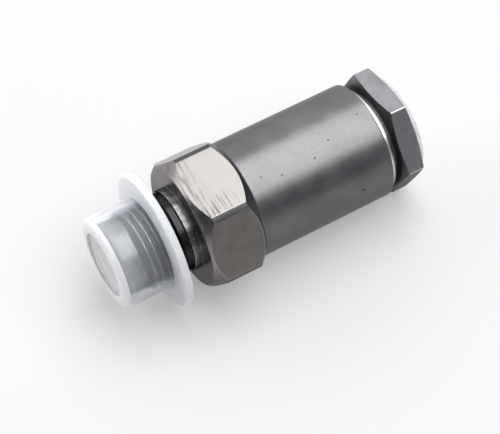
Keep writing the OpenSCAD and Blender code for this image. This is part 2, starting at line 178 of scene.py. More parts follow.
class RearCapSizes(bpy.types.PropertyGroup):
    """Sizes of the cap that stands in the outlet."""

    end: length(41.2, "Closed end", "Station of the cup's closed end")
    seat: length(50.2, "Seat", "Station where the flange lies on the plug")
    flange_diameter: length(22, "Flange diameter", "Diameter of the flange")
    flange_thickness: length(1.3, "Flange thickness", "Thickness of the flange")
    mouth_diameter: length(12.3, "Mouth diameter", "Outside of the cup at the flange")
    draft: length(0.3, "Draft", "Radius that the cup loses towards its closed end")
    wall: length(0.8, "Wall", "Thickness of the cup")
    rim_radius: length(0.6, "Rim radius", "Rounding of the closed end")


class SpringSizes(bpy.types.PropertyGroup):
    """Sizes of the main spring."""

    outside_diameter: length(16.2, "Outside diameter", "Over the coils")
    wire_diameter: length(3, "Wire diameter", "Diameter of the wire")
    front: length(10.42, "Front", "Station of the first end turn")
    rear: length(30.38, "Rear", "Station of the last end turn")
    turns: bpy.props.FloatProperty(name="Turns", description="Turns, the two closed ones among them",
                                   default=5.5, min=3)


class FinishSettings(bpy.types.PropertyGroup):
    """Colours of the valve's materials."""

    steel: colour((0.150, 0.148, 0.148), "Steel", "Gunmetal of the turned housing")
    chamfer: colour((0.255, 0.235, 0.238), "Chamfer", "Shoulder and front chamfer of the hexagon")
    milled: colour((0.200, 0.189, 0.179), "Milled steel", "Bare metal of the milled flats")
    plug: colour((0.240, 0.242, 0.248), "Plug steel", "Metal of the outlet plug")
    bright: colour((0.92, 0.91, 0.89), "Bright steel", "Polished ball")
    ring: colour((0.62, 0.62, 0.61), "Ring", "Sealing ring and the plug's worn corners")
    skin: colour((0.078, 0.075, 0.073), "Skin", "Round of the bar between the hexagon's flats")
    # Worn edges, brighter also as a painted edge highlight
    worn: colour((0.25, 0.24, 0.225), "Worn edges", "Bright edges of the milled flats")
    hard: colour((0.55, 0.56, 0.58), "Hard steel", "Ground and hardened inner parts")
    plate: colour((0.42, 0.42, 0.43), "Plate steel", "Turned spring plates")
    blued: colour((0.10, 0.12, 0.17), "Blued wire", "Spring wire")
    copper: colour((0.72, 0.38, 0.24), "Copper", "Soft seat washer")
    plastic: colour((0.84, 0.86, 0.885), "Plastic", "Milky polyethylene of the caps")
    wall: colour((0.78, 0.82, 0.93), "Wall", "The same plastic where it is thin")


class StageSettings(bpy.types.PropertyGroup):
    """Floor, lights and camera."""

    azimuth: angle(-30.6, "Azimuth", "Turn of the camera about the vertical")
    elevation: angle(55.8, "Elevation", "Height of the camera above the horizon")
    distance: length(344.9, "Distance", "From the camera to the point it looks at")
    target: bpy.props.FloatVectorProperty(name="Target", description="Point that the camera looks at",
                                          default=(13.19 * MM, -4.91 * MM, 0), subtype="XYZ", unit="LENGTH")
    lens: bpy.props.FloatProperty(name="Lens", description="Focal length in millimetres", default=122.2,
                                  subtype="DISTANCE_CAMERA")
    floor_size: length(1600, "Floor size", "Width of the pale floor")
    floor_tilt: angle(2.1, "Floor tilt", "The valve rests on both hexagons, so its axis dips to the rear")
    floor_height: length(-14.27, "Floor height", "Height of the floor under the hexagon's rear edge")
    floor_pivot: length(10.1, "Floor pivot", "Station of the hexagon's rear edge")
    floor_colour: colour((0.425, 0.413, 0.414), "Floor colour", "Pale floor")
    floor_glow: share(0.30, "Floor glow", "Light that the table gives from below")
    world: colour((0.30, 0.325, 0.36), "Room", "Light from all round")
    world_dark: colour((0.08, 0.08, 0.09), "Dark end", "Light from the end that the nose points at")


def corner_columns(edge, reach, coarse, fine):
    """Angles round a hexagon, in radians from the middle of a flat.

    Each sixth of the turn has `coarse` even steps, and `fine` more within `reach` of the two places
    that lie `edge` to each side of the flat's middle, where a flat ends.
    """
    even = np.linspace(-HALF_FACE, HALF_FACE, coarse, endpoint=False)
    even = even[np.abs(np.abs(even) - edge) > reach]
    near = np.linspace(-reach, reach, fine)
    local = np.concatenate([even, edge + near, -edge + near])
    local = np.unique(np.round((local + HALF_FACE) % (2 * HALF_FACE) - HALF_FACE, 7))
    return (np.arange(6)[:, None] * 2 * HALF_FACE + local).ravel()


def off_flat(turn, roll):
    """How far an angle lies from the middle of its flat: the remainder after whole sixths of a turn."""
    return (turn - roll + HALF_FACE) % (2 * HALF_FACE) - HALF_FACE


def milled_bar_radius(turn, flat, bar, roll, blend):
    """Radius of a round bar milled to a hexagon: the smooth minimum of the bar's radius and of
    flat / cos(angle off the flat), which is their mean less the root of a quarter of their squared
    difference plus the squared blend."""
    plane = flat / np.cos(off_flat(turn, roll))
    return (plane + bar) / 2 - np.sqrt(((plane - bar) / 2) ** 2 + blend**2)


def rounded_hexagon_radius(turn, flat, corner, roll):
    """Radius of a hexagon with rounded corners: flat / cos(angle off the flat), and near a corner
    d cos(a) + sqrt(c^2 - d^2 sin(a)^2), where c is the corner's radius, a the angle off the corner
    and d = (flat - c) / cos(30) the distance of the rounding's centre."""
    off_corner = HALF_FACE - np.abs(off_flat(turn, roll))
    centre = (flat - corner) / math.cos(HALF_FACE)
    tangent = math.atan2(corner * math.sin(HALF_FACE), centre + corner * math.cos(HALF_FACE))
    root = np.sqrt(np.maximum(corner**2 - (centre * np.sin(off_corner)) ** 2, 0))
    return np.where(off_corner < tangent, centre * np.cos(off_corner) + root,
                    flat / np.cos(HALF_FACE - off_corner))


def groove_height(station, turn, pitch, root_width, first_root):
    """Height of a 60 degree thread above its root at each station and angle.

    The distance to the nearest groove, which moves on by one pitch a turn, less half the root's width,
    over the tangent of 30 degrees.
    """
    phase = (station - first_root) / pitch - turn / math.tau
    distance = np.abs(phase - np.round(phase)) * pitch
    return np.maximum(distance - root_width / 2, 0) / math.tan(HALF_FACE)


def radii(sizes, *names):
    """Half of each named diameter."""
    return (getattr(sizes, name + "_diameter") / 2 for name in names)


def outline(corners, columns):
    """Corners of a profile as an array: for each column and corner its station and its radius."""
    table = [[np.broadcast_to(value, (columns,)) for value in corner] for corner in corners]
    return np.moveaxis(np.array(table, float), 2, 0)


SOFT_STEPS = 3
ROWS_PER_CORNER = SOFT_STEPS + 3
MOST_OF_SIDE = 0.3
HOLD = 1.6


def soften(points, reach):
    """Rounds the corners of every column's closed profile.

    Each corner C becomes the curve (1-s)^2 A + 2 s (1-s) C + s^2 B between the points A and B that lie
    `reach` along its two sides, but no further than a set share of the side. One more point on each
    side holds the neighbouring face flat.
    """
    before = np.roll(points, 1, axis=1) - points
    after = np.roll(points, -1, axis=1) - points
    before_length = np.linalg.norm(before, axis=2, keepdims=True)
    after_length = np.linalg.norm(after, axis=2, keepdims=True)
    cut = reach[None, :, None]
    start = before / before_length * np.minimum(cut, MOST_OF_SIDE * before_length)
    end = after / after_length * np.minimum(cut, MOST_OF_SIDE * after_length)
    s = np.linspace(0, 1, SOFT_STEPS + 1)[None, None, :, None]
    curve = points[:, :, None] + (1 - s) ** 2 * start[:, :, None] + s**2 * end[:, :, None]
    rows = np.concatenate([(points + HOLD * start)[:, :, None], curve, (points + HOLD * end)[:, :, None]], axis=2)
    return rows.reshape(len(points), -1, 2)


def insert_rows(rows, corner, extra):
    """Puts even rows between a corner and the next one: (1-t) of the last row plus t of the next."""
    last = (corner + 1) * ROWS_PER_CORNER - 1
    t = np.linspace(0, 1, extra + 2)[None, 1:-1, None]
    between = (1 - t) * rows[:, last : last + 1] + t * rows[:, last + 1 : last + 2]
    return np.concatenate([rows[:, : last + 1], between, rows[:, last + 1 :]], axis=1)


def turned_grid(rows, turn):
    """Points of a turned surface: station x, and y = -r sin(a), z = r cos(a) for radius r and angle a."""
    station, radius = rows[..., 0], rows[..., 1]
    grid = np.stack([station, -radius * np.sin(turn)[:, None], radius * np.cos(turn)[:, None]], axis=-1)
    return np.swapaxes(grid, 0, 1)


def surface_piece(name, grid, poles=()):
    """Mesh of quads between neighbouring rows and columns of a grid.

    Columns close round the axis. Rows close too on a piece without poles, and otherwise a fan of
    triangles joins the first and the last row to its pole.
    """
    rows, columns = grid.shape[:2]
    index = np.arange(rows * columns).reshape(rows, columns)
    low = index[:-1] if poles else index
    high = index[1:] if poles else np.roll(index, -1, axis=0)
    quads = np.stack([low, np.roll(low, -1, axis=1), np.roll(high, -1, axis=1), high], axis=-1).reshape(-1, 4)
    vertices = grid.reshape(-1, 3)
    faces = quads.tolist()
    if poles:
        first, last = index[0], index[-1]
        tip, tail = rows * columns, rows * columns + 1
        faces += np.stack([np.full(columns, tip), np.roll(first, -1), first], axis=-1).tolist()
        faces += np.stack([np.full(columns, tail), last, np.roll(last, -1)], axis=-1).tolist()
        vertices = np.concatenate([vertices, np.array(poles)])
    if enclosed_volume(vertices, quads) < 0:
        faces = [face[::-1] for face in faces]
    mesh = bpy.data.meshes.new(name)
    mesh.from_pydata(vertices.tolist(), [], faces)
    mesh.shade_smooth()
    mesh.update()
    return placed(name, mesh)


def placed(name, data):
    """New object of the scene that holds the data."""
    made = bpy.data.objects.new(name, data)
    bpy.context.scene.collection.objects.link(made)
    return made


def enclosed_volume(vertices, quads):
    """Sum over the faces of A . (B x C) / 6 for each triangle of a quad, which is positive when faces
    point outwards."""
    a, b, c, d = (vertices[quads[:, i]] for i in range(4))
    return float(np.sum(a * np.cross(b, c)) + np.sum(a * np.cross(c, d))) / 6


def paint_zones(piece, materials, zone=None):
    """Gives the piece its materials, and each face the material whose number `zone` holds."""
    for material in materials:
        piece.data.materials.append(material)
    if zone is not None:
        piece.data.polygons.foreach_set("material_index", zone.astype(np.int32))


def dress(piece, body, node):
    """Fastens a finished piece to its body and the node that it stands for."""
    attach(piece, body)
    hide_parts(node)


class Nodes:
    """Short calls for the nodes of one tree; an input is a number, a colour or another node's output."""

    def __init__(self, tree):
        self.tree = tree

    def node(self, kind, output, inputs=(), **settings):
        """Adds a shader node with its inputs and settings, and gives one of its outputs."""
        made = self.tree.nodes.new("ShaderNode" + kind)
        for key, value in settings.items():
            setattr(made, key, value)
        for key, value in dict(inputs).items():
            self.feed(made.inputs[key], value)
        return made.outputs[output]

    def feed(self, socket, value):
        """Links an output to a socket, or sets the socket's own value."""
        if isinstance(value, bpy.types.NodeSocket):
            self.tree.links.new(value, socket)
        else:
            socket.default_value = value

    def spread(self, value, low, high, to_low, to_high):
        """Carries the range from low to high over to the range from to_low to to_high."""
        return self.node("MapRange", "Result", {"Value": value, "From Min": low, "From Max": high,
                                                "To Min": to_low, "To Max": to_high})

    def blend(self, factor, first, second):
        """From the first colour at 0 to the second at 1."""
        return self.node("Mix", "Result", {"Factor": factor, "A": first, "B": second}, data_type="RGBA")


class Recipe(Nodes):
    """One material with its base colour, and short calls for what the finishes share."""

    def __init__(self, name, base):
        self.material = bpy.data.materials.new(name)
        self.material.use_nodes = True
        super().__init__(self.material.node_tree)
        self.base = base
        self.place = self.node("TexCoord", "Object")

    def set(self, **values):
        """Sets the shader's sockets, whose names are given with _ for a space, and gives the material."""
        for key, value in values.items():
            self.feed(self.tree.nodes["Principled BSDF"].inputs[key.replace("_", " ")], value)
        return self.material

    def noise(self, scale, across=1, detail=4.0, roughness=0.55, shift=(0, 0, 0)):
        """Clouds of about 1 / scale metres, and of 1 / (scale * across) metres across the valve's axis."""
        place = self.node("Mapping", "Vector", {"Vector": self.place, "Scale": (1, across, across),
                                                "Location": shift})
        return self.node("TexNoise", "Fac", {"Vector": place, "Scale": scale, "Detail": detail,
                                             "Roughness": roughness})

    def along(self, axis):
        """One coordinate of the piece, in metres."""
        return self.node("SeparateXYZ", axis, {"Vector": self.place})

    def vector(self, operation, first, second, output="Value"):
        """One vector step on two points."""
        return self.node("VectorMath", output, {0: first, 1: second}, operation=operation)

    def off_axis(self):
        """Distance from the valve's axis, in metres."""
        return self.vector("LENGTH", self.vector("MULTIPLY", self.place, (0, 1, 1), "Vector"), (0, 0, 0))

    def on_flat(self, turn, distance):
        """1 on the flat whose normal is (0, -sin a, cos a), and 0 below it: the height along that normal,
        where a is the turn, against the flat's distance from the axis."""
        height = self.vector("DOT_PRODUCT", self.place, (0, -math.sin(turn), math.cos(turn)))
        return self.spread(height, distance - 0.4 * MM, distance - 0.1 * MM, 0, 1)

    def pits(self, places):
        """1 in small ragged pits and 0 elsewhere; each place is a point and its reach in millimetres."""
        ragged = self.spread(self.noise(3000, 1, 2), 0.3, 0.7, 0.4, 1.5)
        total = 0.0
        for x, y, z, reach in places:
            away = self.vector("DISTANCE", self.place, (x * MM, y * MM, z * MM))
            ring = self.sums("DIVIDE", away, self.times(ragged, reach * MM))
            total = self.sums("ADD", total, self.spread(ring, 0.5, 1.0, 1, 0))
        return total

    def sums(self, operation, first, second):
        """One arithmetic step on two values."""
        return self.node("Math", "Value", {0: first, 1: second}, operation=operation)

    def times(self, first, second):
        """Product of two values."""
        return self.sums("MULTIPLY", first, second)

    def apart(self, value, middle):
        """Distance of a value from the middle."""
        return self.sums("ABSOLUTE", self.sums("SUBTRACT", value, middle), 0.0)

    def ramp(self, value, low, high, to_low, to_high):
        """Spread of a value whose low and high are given in millimetres."""
        return self.spread(value, low * MM, high * MM, to_low, to_high)

    def band(self, value, start, full, fall, end):
        """0 up to start, 1 from full to fall and 0 from end on, all four in millimetres."""
        return self.times(self.ramp(value, start, full, 0, 1), self.ramp(value, fall, end, 1, 0))

    def shade(self, factor):
        """The base colour made lighter or darker by one factor, with full alpha."""
        return tuple(min(1.0, value * factor) for value in self.base) + (1.0,)

    def clouded(self, value, dark, light, low=0.35, high=0.65):
        """From the base's darker shade where the value is low to its lighter one where it is high."""
        return self.blend(self.spread(value, low, high, 0, 1), self.shade(dark), self.shade(light))

    def over(self, tone, factor, shade):
        """Lays a shade of the base over a tone, as far as the factor says."""
        return self.blend(factor, tone, self.shade(shade))

    def gloss(self, value, low, high):
        """Roughness from low to high over the middle of a noise."""
        return self.spread(value, 0.3, 0.7, low, high)

    def bump(self, height, depth, strength=1.0, under=None):
        """Normals of a relief that is `depth` metres high."""
        inputs = {"Height": height, "Distance": depth, "Strength": strength}
        if under is not None:
            inputs["Normal"] = under
        return self.node("Bump", "Normal", inputs)


BODY_PITS = ((19.9, -6.0, 11.2, 0.30), (27.75, -5.85, 11.3, 0.28), (32.0, -3.85, 12.1, 0.24),
             (35.7, -12.45, 2.5, 0.55), (33.7, -12.3, -3.0, 0.34), (15.85, -4.7, 11.8, 0.20),
             (40.35, -1.6, 12.6, 0.22))
DULL_EDGE = (0.35, 0.35, 0.36, 1.0)
PILOT_END = (-12.2, -12.0)
CAP_FLOOR = -17.2


def turned_steel(finish):
    """Dark satin steel: fine turning lines round the axis, faint clouds and a few small pits."""
    made = Recipe("turned_gunmetal", finish.steel)
    clouds = made.noise(160, 1, 5, 0.6)
    grain = made.noise(5200, 0.05, 2, 0.5)
    speckle = made.noise(2600, 1, 3, 0.7)
    pits = made.pits(BODY_PITS)
    tone = made.clouded(clouds, 0.86, 1.16, 0.35, 0.68)
    tone = made.over(tone, made.spread(speckle, 0.30, 0.75, 0, 0.35), 0.72)
    tone = made.over(tone, made.times(pits, 0.8), 0.25)
    uneven = made.sums("ADD", clouds, made.times(speckle, 0.4))
    return made.set(Base_Color=tone, Metallic=1.0, Specular_Tint=(0.75, 0.75, 0.75, 1.0),
                    Normal=made.bump(pits, -0.00004, 0.6, made.bump(grain, 0.000004, 0.5)),
                    Roughness=made.spread(uneven, 0.4, 1.0, 0.29, 0.42))


def milled_steel(finish, sizes):
    """Bare bright steel: fine dark streaks of the cutter on the upper flat, most at its front edge and its
    lower corner; the flat below it is painted darker as shade and the flat behind it painted lighter as a
    reflection."""
    made = Recipe("milled_flats", finish.milled)
    streaks = made.noise(1700, 0.010, 3, 0.6)
    fine = made.noise(5200, 0.012, 2, 0.5, (3, 1, 2))
    breaks = made.noise(1300, 0.22, 2, 0.5, (7, 3, 1))
    wide = made.noise(400, 0.8, 3, 0.5)
    upper, lower, back = (made.on_flat(sizes.hexagon_roll + turn, sizes.hexagon_width / 2)
                          for turn in (0, 2 * HALF_FACE, -2 * HALF_FACE))
    lines = made.spread(made.apart(streaks, 0.5), 0.008, 0.024, 1, 0)
    lines = made.sums("MAXIMUM", lines, made.spread(fine, 0.56, 0.64, 0, 0.8))
    front = made.ramp(made.along("X"), 3.0, 5.6, 1, 0)
    corner = made.times(made.ramp(made.along("Y"), -3.6, -6.0, 0, 1), made.ramp(made.along("X"), 6.0, 9.5, 1, 0))
    worn = made.times(made.sums("ADD", made.sums("MAXIMUM", front, corner), 0.03), upper)
    marks = made.times(lines, made.spread(breaks, 0.36, 0.54, 0.1, 1))
    tone = made.clouded(wide, 0.96, 1.04, 0.3, 0.7)
    # Painted shade: the flat below the upper one is darkened
    tone = made.over(tone, made.times(lower, made.spread(wide, 0.3, 0.7, 0.4, 0.7)), 0.50)
    # Painted reflection: the flat behind the upper one is lightened
    tone = made.over(tone, back, 1.6)
    tone = made.over(tone, made.times(marks, worn), 0.18)
    return made.set(Base_Color=tone, Metallic=1.0, Normal=made.bump(fine, 0.000002, 0.5),
                    Roughness=made.gloss(wide, 0.30, 0.36))


def nose_steel(finish):
    """Grey steel of the nose: mottled on the collar, with painted shade in the thread's roots and in the groove
    behind the thread, a painted highlight on its crests, and duller on the pilot."""
    made = Recipe("mottled_nose", finish.steel)
    mottle = made.noise(900, 1, 4, 0.65)
    grain = made.noise(4600, 0.08, 2, 0.5)
    station, radius = made.along("X"), made.off_axis()
    on_collar = made.ramp(station, -2.0, -1.8, 0, 1)
    on_thread = made.band(station, *PILOT_END, -3.6, -3.5)
    groove = made.band(station, -3.7, -3.5, -1.9, -1.75)
    # Masks for a painted highlight on the thread's crests and painted shade in its roots
    crest = made.times(made.ramp(radius, 8.88, 8.96, 0, 1), on_thread)
    root = made.times(made.ramp(radius, 8.55, 8.93, 1, 0), on_thread)
    patches = made.times(made.spread(mottle, 0.36, 0.64, -0.5, 0.5), on_collar)
    tone = made.clouded(made.sums("ADD", patches, 0.5), 0.75, 1.75, 0, 1)
    # Painted highlight: the thread's crests are lightened
    tone = made.over(tone, crest, 1.25)
    # Painted shade: the thread's roots and the relief groove are darkened
    tone = made.over(tone, made.times(made.sums("MAXIMUM", groove, root), 0.92), 0.10)
    relief = made.bump(made.times(mottle, on_collar), 0.00001, 0.3, made.bump(grain, 0.000001, 0.3))
    dull = made.ramp(station, *PILOT_END, 0.11, 0)
    return made.set(Base_Color=tone, Metallic=1.0, Specular_Tint=DULL_EDGE, Normal=relief,
                    Roughness=made.sums("ADD", made.gloss(grain, 0.24, 0.30), dull))


def chamfer_steel(finish):
    """Pinkish grey turned faces of the shoulder and the hexagon's front chamfer, with a few fine scores and
    painted shade that darkens them towards the table."""
    made = Recipe("front_chamfer", finish.chamfer)
    clouds = made.noise(500, 1, 3, 0.5)
    scores = made.noise(2500, 0.2, 2, 0.5)
    tone = made.clouded(clouds, 0.90, 1.08)
    tone = made.over(tone, made.spread(scores, 0.62, 0.72, 0, 0.4), 0.45)
    # Painted shade: darker towards the table
    tone = made.over(tone, made.ramp(made.along("Z"), 5.0, -3.0, 0, 0.5), 0.25)
    return made.set(Base_Color=tone, Metallic=1.0, Specular_Tint=(0.7, 0.7, 0.7, 1.0),
                    Roughness=made.gloss(clouds, 0.24, 0.32))


def plug_steel(finish):
    """Mid-grey brushed steel with fine lines across the plug's flats."""
    made = Recipe("brushed_plug", finish.plug)
    lines = made.noise(4200, 0.03, 3, 0.6)
    tone = made.clouded(made.noise(300, 1, 4, 0.6), 0.88, 1.12)
    tone = made.over(tone, made.spread(lines, 0.50, 0.74, 0, 0.5), 0.62)
    return made.set(Base_Color=tone, Metallic=1.0, Specular_Tint=DULL_EDGE,
                    Normal=made.bump(lines, 0.000005, 0.5), Roughness=made.gloss(lines, 0.38, 0.50))


def ground_metal(name, base, scale, low, high):
    """Plain worked metal with a fine grain and a soft spread of gloss."""
    made = Recipe(name, base)
    grain = made.noise(scale, 0.15, 3, 0.6)
    return made.set(Base_Color=made.clouded(made.noise(scale / 9), 0.90, 1.06), Metallic=1.0,
                    Normal=made.bump(grain, 0.000004, 0.4), Roughness=made.gloss(grain, low, high))


def ring_steel(finish):
    """Bright ring whose rear edge is painted dark, as shade in the gap before the plug's head."""
    made = Recipe("bright_ring", finish.ring)
    grain = made.noise(2600, 0.15, 3, 0.6)
    tone = made.clouded(grain, 0.90, 1.06)
    # Painted shade on the ring's rear edge, in the gap before the plug's head
    tone = made.over(tone, made.ramp(made.along("X"), 44.10, 44.25, 0, 0.9), 0.15)
    return made.set(Base_Color=tone, Metallic=1.0, Normal=made.bump(grain, 0.000004, 0.4),
                    Roughness=made.gloss(grain, 0.24, 0.36))


def milky_plastic(base, name, veil, thick):
    """Milky polyethylene: the wall veils what lies behind it, more so where it is looked along and towards
    the front cap's closed end, and light that enters it scatters white. A faint grey line of painted shade
    stands in the corner of that end's recess."""
    made = Recipe(name, base)
    haze = made.noise(420, 1, 3, 0.5)
    station = made.along("X")
    recess_corner = made.apart(made.off_axis(), 6.85 * MM)
    # Painted shade: a faint grey line in the corner of the closed end's recess
    line = made.times(made.ramp(recess_corner, 0.06, 0.14, 1, 0),
                      made.ramp(station, CAP_FLOOR - 0.1, CAP_FLOOR, 0.55, 0))
    tone = made.over(made.clouded(haze, 0.97, 1.02, 0.3, 0.7), line, 0.35)
    looked_along = made.node("LayerWeight", "Facing", {"Blend": 0.5})
    cover = made.sums("ADD", made.spread(looked_along, 0.40, 0.92, veil, thick),
                      made.ramp(station, CAP_FLOOR, -13.5, 0.20, 0))
    return made.set(Base_Color=tone, Metallic=0.0, IOR=1.48, Alpha=cover, Specular_IOR_Level=0.35,
                    Subsurface_Weight=1.0, Subsurface_Radius=(1.0, 1.0, 1.0), Subsurface_Scale=0.004,
                    Roughness=made.gloss(haze, 0.30, 0.40))


HOUSING_THREAD, HOUSING_SIDE, HOUSING_BODY = 4, 11, 13
PLUG_SIDE, PLUG_THREAD = 7, 11
FACE_ROWS = ROWS_PER_CORNER + 2
TURNED, MILLED, NOSE, CHAMFER, RIM, SKIN = range(6)


def housing_rows(sizes, turn):
    """Profile of the housing for each column: the nose, the relief, the hexagon and the body outside,
    then the plug's bore, the chamber and the stepped bore inside."""
    flat_radius = milled_bar_radius(turn, sizes.hexagon_width / 2, sizes.bar_diameter / 2, sizes.hexagon_roll,
                                    blend=sizes.edge * 0.35)
    rise = math.tan(sizes.hexagon_slope)
    shoulder, body, crest, pilot, relief = radii(sizes, "shoulder", "body", "thread", "pilot", "relief")
    plug_bore, chamber, guide, seat, inlet = radii(sizes, "plug_bore", "chamber", "guide_bore", "seat_bore",
                                                   "inlet")
    mouth = sizes.inlet_mouth / 2
    nose = -sizes.nose_length
    thread = nose + sizes.pilot_length
    flank = (crest - relief) * math.tan(HALF_FACE)
    collar = -sizes.collar_length
    last = collar - sizes.relief_width
    body_end = sizes.hexagon_length + sizes.body_length
    bore_end = body_end - sizes.plug_bore_depth
    edge = sizes.edge
    corners = [
        (nose, mouth), (nose, pilot - sizes.nose_chamfer), (nose + sizes.nose_chamfer, pilot),
        (thread, pilot), (thread + crest - pilot, crest), (last, crest), (last + flank, relief),
        (collar - flank, relief), (collar, crest), (0, crest), (0, shoulder),
        ((flat_radius - shoulder) * rise, flat_radius),
        (sizes.hexagon_length - (flat_radius - body) * rise, flat_radius),
        (sizes.hexagon_length, body), (body_end - sizes.body_chamfer, body),
        (body_end, body - sizes.body_chamfer), (body_end, plug_bore), (bore_end, plug_bore), (bore_end, chamber),
        (sizes.chamber_floor, chamber), (sizes.chamber_floor, guide), (sizes.seat_rear, guide),
        (sizes.seat_rear, seat), (sizes.seat_front, seat), (sizes.seat_front, inlet),
        (nose + mouth - inlet, inlet),
    ]
    reach = np.full(len(corners), edge)
    reach[HOUSING_BODY] = 2 * edge
    rows = insert_rows(soften(outline(corners, len(turn)), reach), HOUSING_THREAD, sizes.thread_rows)
    on_thread = (rows[..., 0] > thread - edge) & (rows[..., 0] < last) & (rows[..., 1] > pilot - edge)
    height = groove_height(rows[..., 0], turn[:, None], sizes.thread_pitch, sizes.root_width, sizes.first_root)
    run_out = relief - (last - rows[..., 0]) / math.tan(HALF_FACE)
    cut = np.maximum(crest - sizes.thread_depth + height, run_out)
    rows[..., 1] = np.where(on_thread, np.minimum(rows[..., 1], cut), rows[..., 1])
    return rows


class VALVE_OT_housing(bpy.types.Operator):
    """Build the housing with its real thread and the curved edges of its milled hexagon"""

    bl_idname = "valve.housing"
    bl_label = "Housing"

    def execute(self, context):
        sizes = context.scene.valve_housing
        finish = context.scene.valve_finish
        half_flat = math.acos(sizes.hexagon_width / sizes.bar_diameter)
        turn = sizes.hexagon_roll + corner_columns(half_flat, math.radians(0.45), coarse=34, fine=7)
        rows = housing_rows(sizes, turn)
        piece = surface_piece("housing", turned_grid(rows, turn))
        station = (rows[:, :, 0] + np.roll(rows[:, :, 0], -1, axis=1)) / 2
        row = np.arange(rows.shape[1])[None]
        front = HOUSING_SIDE * ROWS_PER_CORNER + sizes.thread_rows
        rear = front + ROWS_PER_CORNER
        between = off_flat((turn + np.roll(turn, -1)) / 2, sizes.hexagon_roll)
        side = np.abs(between)[:, None] - half_flat
        on_side = (row >= front + 2) & (row < rear + 3)
        # Edge band of the flats: worn steel that also carries a painted edge highlight
        rim = (side < 0) & (((row >= front) & (row < front + 3)) | ((row >= rear + 1) & (row < rear + 4)))
        rim |= on_side & (np.abs(side) < math.radians(0.25))
        chamfer = (row >= front - FACE_ROWS) & (row < front)
        on_nose = station < -0.05 * MM
        zone = np.select([rim, on_side & (side < 0), on_side & (side > 0), chamfer, on_nose],
                         [RIM, MILLED, SKIN, CHAMFER, NOSE], TURNED)
        finishes = [turned_steel(finish), milled_steel(finish, sizes), nose_steel(finish), chamfer_steel(finish),
                    ground_metal("worn_and_lit_edges", finish.worn, 5000, 0.26, 0.38),
                    ground_metal("bar_skin", finish.skin, 1500, 0.34, 0.48)]
        paint_zones(piece, finishes, zone.T.ravel())
        dress(piece, "housing", "valve_housing")
        return {"FINISHED"}


def plug_rows(sizes, turn):
    """Profile of the outlet plug for each column: shank, neck and chamfered hexagon outside, then the
    threaded outlet and the through bore inside."""
    corner_radius = rounded_hexagon_radius(turn, sizes.hexagon_width / 2, sizes.corner_radius, sizes.roll)
    face, thread, neck, core, bore = radii(sizes, "face", "thread", "neck", "core", "bore")
    front, head, rear, edge = sizes.front, sizes.head, sizes.rear, sizes.edge
    drop = (corner_radius - face) * math.tan(sizes.slope)
    floor = rear - sizes.outlet_reach
    mouth = core + sizes.countersink
    corners = [
        (front, bore), (front, thread - sizes.lead), (front + sizes.lead, thread),
        (head - sizes.neck_length, thread), (head - sizes.neck_length, neck), (head, neck), (head, face),
        (head + drop, corner_radius), (rear - drop, corner_radius), (rear, face), (rear, mouth),
        (rear - sizes.countersink, core), (floor, core), (floor, bore),
    ]
    reach = np.full(len(corners), edge)
    rows = insert_rows(soften(outline(corners, len(turn)), reach), PLUG_THREAD, sizes.thread_rows)
    on_thread = (rows[..., 0] > floor + edge) & (rows[..., 1] > bore + edge) & (rows[..., 1] < mouth)
    height = groove_height(rows[..., 0], turn[:, None], sizes.outlet_pitch, sizes.root_width, rear)
    cut = core + np.maximum(sizes.outlet_depth - height, 0)
    rows[..., 1] = np.where(on_thread, np.maximum(rows[..., 1], cut), rows[..., 1])
    return rows


class VALVE_OT_plug(bpy.types.Operator):
    """Build the outlet plug with its chamfered hexagon and its tapped outlet"""

    bl_idname = "valve.plug"
    bl_label = "Outlet plug"

    def execute(self, context):
        sizes = context.scene.valve_plug
        finish = context.scene.valve_finish
        turn = sizes.roll + corner_columns(HALF_FACE, math.radians(1.2), coarse=30, fine=9)
        rows = plug_rows(sizes, turn)
        piece = surface_piece("plug", turned_grid(rows, turn))
        between = off_flat((turn + np.roll(turn, -1)) / 2, sizes.roll)
        row = np.arange(rows.shape[1])[None]
        corner = np.abs(between)[:, None] > HALF_FACE - math.radians(0.5)
        first = PLUG_SIDE * ROWS_PER_CORNER
        zone = corner & (row > first) & (row < first + 2 * ROWS_PER_CORNER - 1)
        paint_zones(piece, [plug_steel(finish), ground_metal("plug_corners", finish.ring, 5000, 0.26, 0.38)],
                    zone.T.ravel())
        dress(piece, "housing", "outlet_plug")
        return {"FINISHED"}


def arc(centre, radius, start, end, steps):
    """Points of an arc in the profile's plane, from one angle to another in degrees, as (station, radius)."""
    turn = np.radians(np.linspace(start, end, steps))
    return np.stack([centre[0] + radius * np.cos(turn), centre[1] + radius * np.sin(turn)], axis=1)


